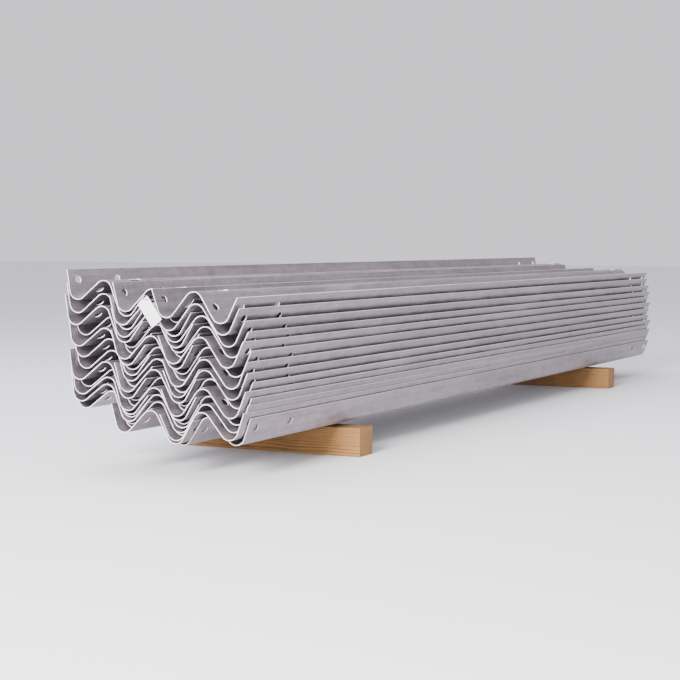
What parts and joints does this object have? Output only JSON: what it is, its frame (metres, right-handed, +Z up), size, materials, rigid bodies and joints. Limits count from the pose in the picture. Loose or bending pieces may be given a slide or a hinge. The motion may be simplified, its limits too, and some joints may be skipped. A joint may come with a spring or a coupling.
{
  "type": "bundle of highway guardrail beams",
  "caption": "Bundle of galvanised two-wave guardrail beams, nested crests down in overlapping columns and carried on two timber bearers, with a blank tag.",
  "frame": {"origin": "on the ground under the middle of the bundle, level with the undersides of the bearers", "axes": "+X along the rails, away from the tagged end; +Y across them; +Z up"},
  "size_m": [4.4329, 0.77, 0.652],
  "materials": {
    "galvanised_steel": "dull hot-dip zinc, grey with a faint purple tint, bright where it was cut",
    "timber": "rough sawn softwood, tan, weathered darker on its long faces",
    "tag_card": "blank white card",
    "tie_wire": "soft galvanised wire"
  },
  "bodies": {
    "root": {"bearer_far": "timber", "bearer_near": "timber", "rail_left_01": "galvanised_steel", "rail_left_02": "galvanised_steel", "rail_left_03": "galvanised_steel", "rail_left_04": "galvanised_steel", "rail_left_05": "galvanised_steel", "rail_left_06": "galvanised_steel", "rail_left_07": "galvanised_steel", "rail_left_08": "galvanised_steel", "rail_left_09": "galvanised_steel", "rail_left_10": "galvanised_steel", "rail_left_11": "galvanised_steel", "rail_left_12": "galvanised_steel", "rail_middle_01": "galvanised_steel", "rail_middle_02": "galvanised_steel", "rail_middle_03": "galvanised_steel", "rail_middle_04": "galvanised_steel", "rail_middle_05": "galvanised_steel", "rail_middle_06": "galvanised_steel", "rail_middle_07": "galvanised_steel", "rail_middle_08": "galvanised_steel", "rail_middle_09": "galvanised_steel", "rail_middle_10": "galvanised_steel", "rail_middle_11": "galvanised_steel", "rail_middle_12": "galvanised_steel", "rail_middle_13": "galvanised_steel", "rail_right_01": "galvanised_steel", "rail_right_02": "galvanised_steel", "rail_right_03": "galvanised_steel", "rail_right_04": "galvanised_steel", "rail_right_05": "galvanised_steel", "rail_right_06": "galvanised_steel", "rail_right_07": "galvanised_steel", "rail_right_08": "galvanised_steel", "rail_right_09": "galvanised_steel", "rail_right_10": "galvanised_steel", "rail_right_11": "galvanised_steel", "rail_right_12": "galvanised_steel", "rail_right_13": "galvanised_steel", "rail_right_14": "galvanised_steel", "tag": "tag_card", "tag_wire": "tie_wire"}
  },
  "joints": []
}
